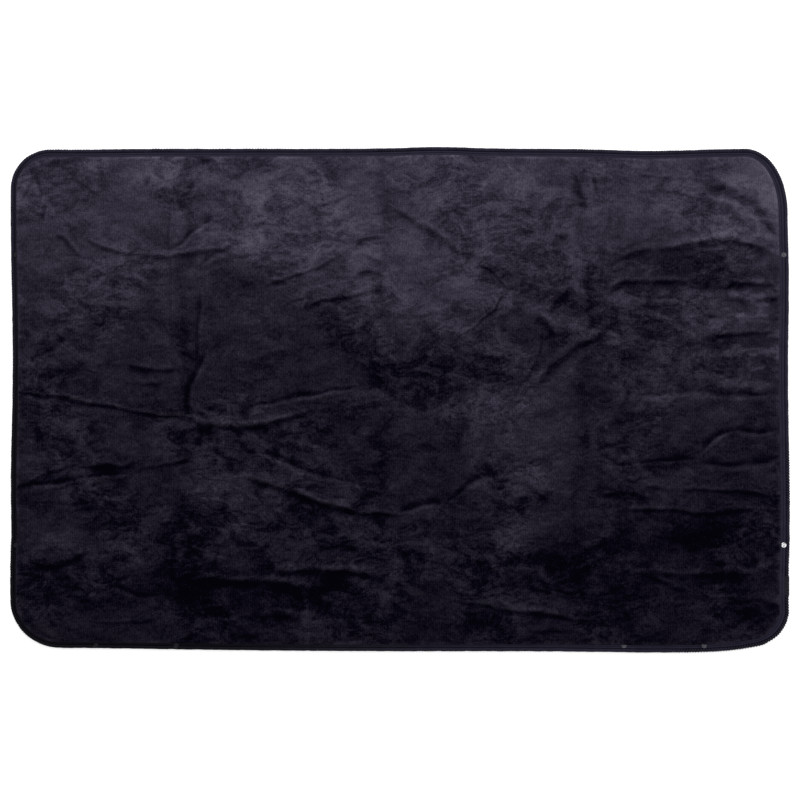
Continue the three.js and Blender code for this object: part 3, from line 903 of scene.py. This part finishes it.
TAPE_STOPS = [(0.25, (0.012, 0.0105, 0.0225)), (0.55, (0.0205, 0.018, 0.035)), (0.85, (0.033, 0.0295, 0.052))]
ROLL_STOPS = [(0.25, (0.011, 0.0098, 0.0205)), (0.55, (0.020, 0.018, 0.034)), (0.85, (0.035, 0.0315, 0.053))]
SHELL_STOPS = [(0.25, (0.009, 0.0085, 0.015)), (0.55, (0.015, 0.014, 0.0235)), (0.85, (0.025, 0.0235, 0.036))]
THREAD_STOPS = [(0.2, (0.010, 0.009, 0.018)), (0.8, (0.045, 0.040, 0.065))]


def speckled(name, dark, light, scale, rough, metallic=0.0, bump=0.0002, **values):
    """A hard or fibrous surface whose colour and gloss vary with fine noise."""
    n = Nodes(name)
    place = n.object_place()
    grain = n.noise(place, scale, 4.0, 0.6)
    n.to("Base Color", n.ramp(grain, [(0.3, dark), (0.7, light)]))
    n.to("Roughness", n.maths("ADD", rough, n.around(grain, 0.2), clamp=True))
    n.to("Normal", n.bump(grain, bump, 0.5))
    n.set(Metallic=metallic, **values)
    return n.material


# Sweeps round the outline


def edge_painted_light(x, y):
    """Painted light on the edge's nylon: lighter towards the upper right, with painted shade towards the
    lower left.
    """
    return 0.20 + 0.73 * smooth(x + 0.9 * y, -1.10, -0.15)


def stations(count):
    """Even steps round the outline: where, which way is inwards, how far round, and the band's width."""
    points, total = resample(outline, count)
    way = np.arange(count) * total / count
    band = np.interp(way, np.arange(len(outline)) * total / len(outline), shown_band, period=total)
    return points, closed_normals(points), way, band


def sweep(name, count, profile, material):
    """A closed tube round the outline. profile(x, y, way, band) gives the section's points, inwards and up,
    and how deep the painted shade on each is, for each place on the outline, as arrays of count by points."""
    points, normals, way, band = stations(count)
    across, up, dark = profile(points[:, 0], points[:, 1], way, band)
    xy = points[:, None, :] + normals[:, None, :] * across[..., None]
    verts = np.concatenate([xy, up[..., None]], axis=2)
    size = across.shape[1]
    faces = []
    for k in range(count):
        a, b = k * size, (k + 1) % count * size
        faces += [(a + m, a + (m + 1) % size, b + (m + 1) % size, b + m) for m in range(size)]
    piece = add_object(name, verts.reshape(-1, 3), faces, material)
    # across the section and along the edge, so the weave follows the tape
    place = np.stack([np.broadcast_to(way[:, None], across.shape), across - up, 0 * up], axis=-1)
    add_attribute(piece, "flat_place", "FLOAT_VECTOR", "vector", place)
    # painted light towards the upper right and painted shade towards the lower left, with the section's
    # painted shade on top
    light = edge_painted_light(points[:, 0], points[:, 1])[:, None] * (1 - dark)
    add_attribute(piece, "shade", "FLOAT", "value", 1 - light)
    return piece


def along_noise(way, scale, seed):
    """Noise along the closed edge that meets itself."""
    turn = 2 * math.pi * way / perimeter
    r = perimeter * scale / (2 * math.pi)
    return np.array([noise((r * math.cos(t), r * math.sin(t), seed)) for t in turn])


def gathers(x, y):
    """How strongly the edge is gathered, 0 to 1: most down the right side and round its lower corner."""
    lower_right = smooth(-y, 0.04, 0.20) * smooth(x, 0.45, 0.80)
    top = 0.35 * smooth(y, 0.50, 0.56)
    left = 0.22 * smooth(-x, 0.80, 0.88) * smooth(-y, 0.10, 0.35)
    return np.clip(0.18 + lower_right + top + left, 0, 1)


ROLL_R = (4.8 * MM, 5.2 * MM)  # across and up
ROLL_POINTS = 18
RIB_PITCH = 6.4 * MM


def roll_profile(x, y, way, band):
    """A soft roll, gathered into short slanting ribs where the edge is shortened."""
    gathered = gathers(x, y)
    strength = np.clip(gathered * (0.7 + 0.7 * along_noise(way, 18, 5.0)), 0, 1.2)
    slip = 3.4 * along_noise(way, 22, 8.0)
    swell = 0.45 * MM * along_noise(way, 30, 13.0) + 0.55 * MM * along_noise(way, 75, 17.0)
    angles = 2 * math.pi * np.arange(ROLL_POINTS) / ROLL_POINTS
    phase = 2 * math.pi * way / RIB_PITCH + slip
    rib = np.cos(phase[:, None] + 1.4 * np.sin(angles)[None])
    rib = np.sign(rib) * np.abs(rib) ** 0.7
    grow = 1 + 0.21 * strength[:, None] * rib
    across = ROLL_R[0] * (1 - np.cos(angles)[None] * grow) + swell[:, None]
    up = ROLL_R[1] * (1 + np.sin(angles)[None] * grow) - 0.35 * MM * np.clip(strength, 0, 1)[:, None]
    # painted shade in the valleys between the ribs and on the roll's inner side, along the groove by the tape
    valley = np.clip(0.5 - 0.5 * rib, 0, 1) * np.clip(1.1 * strength, 0, 0.9)[:, None]
    inner_side = 0.8 * smooth(np.cos(angles), -0.45, -0.9)[None]
    return across, np.maximum(up, 0.0), np.maximum(valley, inner_side)


# Section of the binding: how far in from the inner edge, the middle groove, the outer edge or the outline
# it is, its height over the band's top or the floor, how much it puckers and how dark the painted shade on it
# is
TAPE_SECTION = [
    ("inner", 2.2, "top", -0.5, 0, 0.5),
    ("inner", 0.4, "top", 0.1, 1, 0.0),
    ("inner", -0.8, "top", 0.35, 1, 0.0),
    ("middle", 1.1, "top", 0.3, 1, 0.0),
    ("middle", 0.5, "top", -0.45, 0, 0.75),
    ("middle", -0.5, "top", -0.45, 0, 0.75),
    ("middle", -1.1, "top", 0.2, 1, 0.0),
    ("outer", 1.2, "top", 0.1, 1, 0.0),
    ("outer", 0.3, "top", -0.6, 0, 0.6),
    ("outer", -0.5, "top", -1.6, 0, 0.8),
    ("edge", 8.6, "floor", 8.0, 0, 0.8),
    ("edge", 8.6, "floor", 1.0, 0, 0.3),
    ("edge", 9.0, "floor", 0.35, 0, 0.0),
    ("edge", 9.9, "floor", 0.1, 0, 0.0),
    ("edge", 15.0, "floor", 0.0, 0, 0.0),
    ("edge", 21.4, "floor", 0.0, 0, 0.0),
    ("edge", 22.0, "floor", 0.5, 0, 0.0),
    ("edge", 21.4, "floor", 1.0, 0, 0.0),
    ("edge", 15.0, "floor", 1.1, 0, 0.0),
    ("edge", 10.5, "floor", 1.2, 0, 0.0),
    ("edge", 10.0, "floor", 1.8, 0, 0.0),
    ("edge", 10.0, "floor", 7.8, 0, 0.0),
    ("edge", 10.7, "floor", 8.6, 0, 0.0),
    ("inner", 2.2, "top", -1.3, 0, 0.0),
]
TAPE_OUTER = 9.4 * MM  # where the tape dips to the roll


def tape_middle(band):
    return 0.5 * (band + TAPE_OUTER)


def tape_profile(x, y, way, band):
    """Binding tape, doubled over the stack's edge, with a stitched groove along its middle."""
    gathered = gathers(x, y)
    ripple = 0.22 * MM * along_noise(way, 40, 23.0) * (0.5 + gathered)
    pucker = 0.16 * MM * np.cos(math.pi * way / RIB_PITCH + 3 * along_noise(way, 15, 31.0))
    lift = ripple + pucker * gathered
    starts = {"inner": band, "middle": tape_middle(band), "outer": TAPE_OUTER + 0 * band, "edge": 0 * band}
    floors = {"top": BAND_TOP, "floor": 0.0}
    across = np.stack([starts[start] + more * MM for start, more, *_ in TAPE_SECTION], axis=1)
    heights = [floors[base] + rise * MM + free * lift for _, _, base, rise, free, _ in TAPE_SECTION]
    up = np.stack(heights, axis=1)
    dark = np.array([row[-1] for row in TAPE_SECTION])[None] + 0 * up
    return across, np.maximum(up, 0.0), dark


def interlining_profile(x, y, way, band):
    """The layers' stitched-down edges, inside the binding."""
    low, high = (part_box("left_edge_interlining")[k][2] + 0.1 * MM for k in (0, 1))
    outer, inner = 0 * band + 10.6 * MM, band + 1.0 * MM
    soft = 0.8 * MM
    half = [outer, outer + soft, inner - soft, inner]
    across = np.stack(half + half[::-1], axis=1)
    up = np.array([low + soft, low, low, low + soft, high - soft, high, high, high - soft])[None] + 0 * across
    return across[:, ::-1], up[:, ::-1], 0 * across


STITCH = {"pitch": 3.4 * MM, "length": 2.5 * MM, "thick": 0.34 * MM}


def add_thread(verts, faces, centre, along, side, z):
    """One stitch: a short thread that dips into the cloth at both ends."""
    half, thick = 0.5 * STITCH["length"], STITCH["thick"]
    rings = [(-1.0, 0.25), (-0.6, 0.9), (0.0, 1.0), (0.6, 0.9), (1.0, 0.25)]
    sides = 6
    faces += tube_faces(len(verts), len(rings), sides)
    for at, size in rings:
        middle = centre + along * at * half
        for m in range(sides):
            turn = 2 * math.pi * m / sides
            out = side * thick * size * math.cos(turn)
            verts.append((*(middle + out), z - 0.35 * thick * at * at + thick * size * math.sin(turn)))


def make_stitches(material):
    """Two rows of thread round the tape: in its middle groove, and a sparser one beside the plush."""
    count = int(perimeter / STITCH["pitch"])
    points, normals, _, band = stations(count)
    rows = [(tape_middle(band), -0.2 * MM, 1), (band - 1.4 * MM, 0.42 * MM, 2)]
    verts, faces = [], []
    for inset, lift, every in rows:
        for k in range(0, count, every):
            along = np.array([normals[k][1], -normals[k][0]])
            add_thread(verts, faces, points[k] + normals[k] * inset[k], along, normals[k], BAND_TOP + lift)
    piece = add_object("binding_stitches", verts, faces, material)
    add_attribute(piece, "flat_place", "FLOAT_VECTOR", "vector", verts)
    verts = np.array(verts)
    # painted light and shade along the edge, as on the tape
    add_attribute(piece, "shade", "FLOAT", "value", 1 - edge_painted_light(verts[:, 0], verts[:, 1]))
    return piece


# Flat sheets of the stack


def closed_sheet(name, grid, low, high, material):
    """A closed sheet between two surfaces over one grid of places."""
    nv, nu = grid.shape[:2]
    size = nu * nv
    faces = [f[::-1] for f in grid_faces(nu, nv)]
    faces += [tuple(size + k for k in f) for f in grid_faces(nu, nv)]
    rim = grid_rim(nu, nv)
    faces += [(a, b, size + b, size + a) for a, b in zip(rim, rim[1:] + rim[:1])]
    surfaces = [np.concatenate([grid, z[..., None]], axis=2).reshape(-1, 3) for z in (low, high)]
    verts = np.vstack(surfaces)
    piece = add_object(name, verts, faces, material)
    add_attribute(piece, "flat_place", "FLOAT_VECTOR", "vector", verts * (1, 1, 0))
    return piece


def make_shell(material):
    """The nylon underside, lying on the floor with slight puckers."""
    grid = stretched_grid(outline + inward * 21.2 * MM, column_places(201), 131)
    x, y = grid[..., 0], grid[..., 1]
    pucker = 0.30 * MM * (1 + noise_field(x, y * 0.7, 9, 91.0, 3))
    crossing = 0.25 * MM * np.abs(noise_field(x * 0.5, y, 26, 97.0, 2))
    under = np.clip(pucker + crossing, 0.0, 0.85 * MM)
    for fold_x, sharp in PACKING_FOLDS:
        under += 0.25 * MM * sharp * bump_at(x, fold_x, 0.004)
    under = np.clip(under - under.min(), 0.0, 0.9 * MM)
    return closed_sheet("outer_shell", grid, under, under + 0.3 * MM, material)


def make_layer(name, material):
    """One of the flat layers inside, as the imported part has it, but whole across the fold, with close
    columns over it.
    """
    low, high = (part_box("left_" + name)[k][2] for k in (0, 1))
    grid = stretched_grid(outline + inward * (shown_band + 9 * MM)[:, None], column_places(105), 61)
    flat = np.zeros(grid.shape[:2])
    return closed_sheet(name, grid, flat + low, flat + high, material)


def make_bridge(name, ends, radius, material):
    """A loose length of wire over the fold, from one half's end to the other's."""
    (ax, y, z), (bx, _, _) = ends
    steps, sides = 28, 10
    turns = 2 * math.pi * np.arange(sides) / sides
    verts = [
        (x, y + radius * math.cos(turn), z + radius * math.sin(turn))
        for x in np.linspace(ax, bx, steps)
        for turn in turns
    ]
    return add_object(name, verts, tube_faces(0, steps, sides), material)


def open_at_inlet(piece, width, z):
    """Cuts the plug's way in through the edge."""
    low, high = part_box("right_inlet_housing")
    middle = 0.5 * (low[1] + high[1])
    box = bmesh.new()
    bmesh.ops.create_cube(box, size=1.0)
    scale = Vector((high[0] - low[0] + 20 * MM, width, z[1] - z[0]))
    centre = Vector((0.5 * (low[0] + high[0]) + 12 * MM, middle, 0.5 * (z[0] + z[1])))
    for v in box.verts:
        v.co = v.co * scale + centre
    mesh = bpy.data.meshes.new("inlet_cutter")
    box.to_mesh(mesh)
    box.free()
    cutter = link_object("inlet_cutter", mesh)
    boolean = piece.modifiers.new("inlet", "BOOLEAN")
    boolean.object = cutter
    boolean.operation = "DIFFERENCE"
    boolean.solver = "EXACT"
    cut_mesh = bpy.data.meshes.new_from_object(piece.evaluated_get(bpy.context.evaluated_depsgraph_get()))
    piece.modifiers.clear()
    piece.data = cut_mesh
    bpy.data.objects.remove(cutter)


# Build

WHITE_FIBRE = ((0.62, 0.61, 0.58), (0.84, 0.83, 0.80))
interlining_look = speckled("wadding", *WHITE_FIBRE, 260, 0.9, bump=0.001)
wadding_look = speckled("wadding_fill", *WHITE_FIBRE, 260, 0.9, bump=0.001)
foil_look = speckled("reflective_film", (0.50, 0.51, 0.53), (0.72, 0.73, 0.76), 120, 0.28, 0.9, 0.0005)
carrier_look = speckled("carrier_cloth", (0.55, 0.53, 0.47), (0.70, 0.68, 0.62), 500, 0.9)
cover_look = speckled("cover_cloth", (0.50, 0.47, 0.40), (0.64, 0.61, 0.54), 500, 0.9)
wire_look = speckled("heating_wire", (0.36, 0.05, 0.02), (0.50, 0.09, 0.04), 500, 0.45)
lead_look = speckled("lead_sheath", (0.008, 0.008, 0.010), (0.020, 0.020, 0.023), 500, 0.5)

plush = make_plush(plush_material())
tape = sweep("edge_binding", 2400, tape_profile, binding_material("binding_tape", TAPE_STOPS, 0.6 * MM))
roll = sweep("rolled_edge", 5600, roll_profile, binding_material("binding_roll", ROLL_STOPS, 0.7 * MM))
interlining = sweep("edge_interlining", 1200, interlining_profile, interlining_look)
open_at_inlet(tape, 26.4 * MM, (2.5 * MM, 7.5 * MM))
open_at_inlet(roll, 30.4 * MM, (1.6 * MM, 8.4 * MM))
open_at_inlet(interlining, 44.6 * MM, (0.0, 12.0 * MM))
stitches = make_stitches(binding_material("binding_thread", THREAD_STOPS, 0.3 * MM))
shell = make_shell(binding_material("shell_nylon", SHELL_STOPS, 0.8 * MM))
layers = {
    "wadding": (make_layer("wadding", wadding_look), "wadding"),
    "reflective_foil": (make_layer("reflective_foil", foil_look), "reflective_film"),
    "heater_carrier": (make_layer("heater_carrier", carrier_look), "carrier_cloth"),
    "heater_cover_cloth": (make_layer("heater_cover_cloth", cover_look), "cover_cloth"),
}

WIRE_LOW, WIRE_HIGH = (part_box("left_heating_wire")[k][2] for k in (0, 1))
WIRE_R = 0.5 * (WIRE_HIGH - WIRE_LOW)
BRIDGE_ENDS = [15.2 * MM, -15.2 * MM]


def bridge(name, y, material):
    z = WIRE_LOW + WIRE_R
    return make_bridge(name, [(x, y, z) for x in BRIDGE_ENDS], 0.92 * WIRE_R, material)


wire_bridge = bridge("heating_wire_bridge", -509.5 * MM, wire_look)
lead_bridge = bridge("return_lead_bridge", -541 * MM, lead_look)

FINE_BUMP = 0.00005
nickel_look = speckled("nickel", (0.60, 0.61, 0.63), (0.80, 0.81, 0.83), 700, 0.22, 1.0, FINE_BUMP)
# a darker copy of the nickel: painted shade for the right studs that show little glint, beside the bright
# lower one
shaded_nickel_look = speckled("nickel_shaded_copy", (0.04, 0.04, 0.05), (0.12, 0.12, 0.14), 700, 0.4, 1.0, FINE_BUMP)
inlet_look = speckled(
    "inlet_plastic", (0.006, 0.006, 0.009), (0.012, 0.012, 0.017), 1500, 0.5, Specular_IOR_Level=0.08
)
# Words in a node's name and the look they give it: the first that fits counts
NODE_LOOKS = [
    ("right_stud_ball_lower", nickel_look),
    ("right_stud_ball", shaded_nickel_look),
    ("stud", speckled("gunmetal", (0.006, 0.006, 0.010), (0.020, 0.020, 0.028), 700, 0.45, 0.8, FINE_BUMP)),
    ("inlet_pin", speckled("brass", (0.55, 0.36, 0.10), (0.72, 0.52, 0.20), 900, 0.25, 1.0, FINE_BUMP)),
    ("inlet_housing", inlet_look),
    ("interlining", interlining_look),
    ("wadding", wadding_look),
    ("foil", foil_look),
    ("heater_carrier", carrier_look),
    ("cover_cloth", cover_look),
    ("heating_wire", wire_look),
    ("_lead", lead_look),
    ("temperature_sensor", speckled("sensor_epoxy", (0.010, 0.010, 0.012), (0.030, 0.030, 0.034), 500, 0.4)),
    ("thermal", speckled("cut_out_ceramic", (0.70, 0.68, 0.60), (0.84, 0.82, 0.75), 400, 0.5)),
    ("terminal", speckled("terminal_ceramic", (0.66, 0.64, 0.58), (0.82, 0.80, 0.74), 400, 0.5)),
]
for name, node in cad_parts.items():
    for word, look in NODE_LOOKS:
        if word in name:
            node.material_slots[0].material = look
            break

# Each piece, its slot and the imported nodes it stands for
PIECES = [
    (plush, "plush", ["right_plush_lining", "left_plush_lining"]),
    (tape, "binding", ["right_edge_binding_upper", "right_edge_binding_lower", "left_edge_binding"]),
    (roll, "binding", ["right_rolled_edge_upper", "right_rolled_edge_lower", "left_rolled_edge"]),
    (
        interlining,
        "wadding",
        ["right_edge_interlining_upper", "right_edge_interlining_lower", "left_edge_interlining"],
    ),
    (stitches, "binding", []),
    (shell, "shell_nylon", ["right_outer_shell", "left_outer_shell"]),
    (wire_bridge, "heating_wire", []),
    (lead_bridge, "lead_sheath", []),
]
PIECES += [(piece, slot, ["right_" + name, "left_" + name]) for name, (piece, slot) in layers.items()]
for piece, slot, nodes in PIECES:
    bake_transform(piece)
    if nodes:
        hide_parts(*nodes)

# Floor and light


def make_floor():
    floor = add_square("floor", 8)
    floor.location.z = -0.3 * MM
    n = Nodes("floor")
    n.set(Base_Color=(0.93, 0.93, 0.93, 1.0), Roughness=0.9, Specular_IOR_Level=0.1)
    n.set(Emission_Color=(1.0, 1.0, 1.0, 1.0), Emission_Strength=0.42)
    floor.data.materials.append(n.material)


def add_area(name, place, aim, size, power):
    data = bpy.data.lights.new(name, "AREA")
    data.shape = "RECTANGLE"
    data.size, data.size_y = size
    data.energy = power
    light = link_object(name, data)
    light.location = place
    light.rotation_euler = (Vector(aim) - Vector(place)).to_track_quat("-Z", "Y").to_euler()


def make_light():
    world = bpy.data.worlds.new("studio")
    world.use_nodes = True
    background = world.node_tree.nodes["Background"]
    background.inputs["Color"].default_value = (1.0, 1.0, 1.0, 1.0)
    background.inputs["Strength"].default_value = 0.55
    bpy.context.scene.world = world
    add_area("top_softbox", (-0.5, 2.6, 1.9), (0.0, 0.2, 0.0), (3.2, 1.4), 62.0)
    add_area("side_softbox", (2.7, 0.7, 1.7), (0.3, 0.0, 0.0), (1.4, 2.4), 22.0)
    add_area("overhead", (0.0, 0.2, 3.6), (0.0, 0.0, 0.0), (2.6, 2.6), 26.0)


make_floor()
make_light()
bpy.context.scene.view_settings.view_transform = "Standard"
bpy.context.scene.view_settings.look = "None"
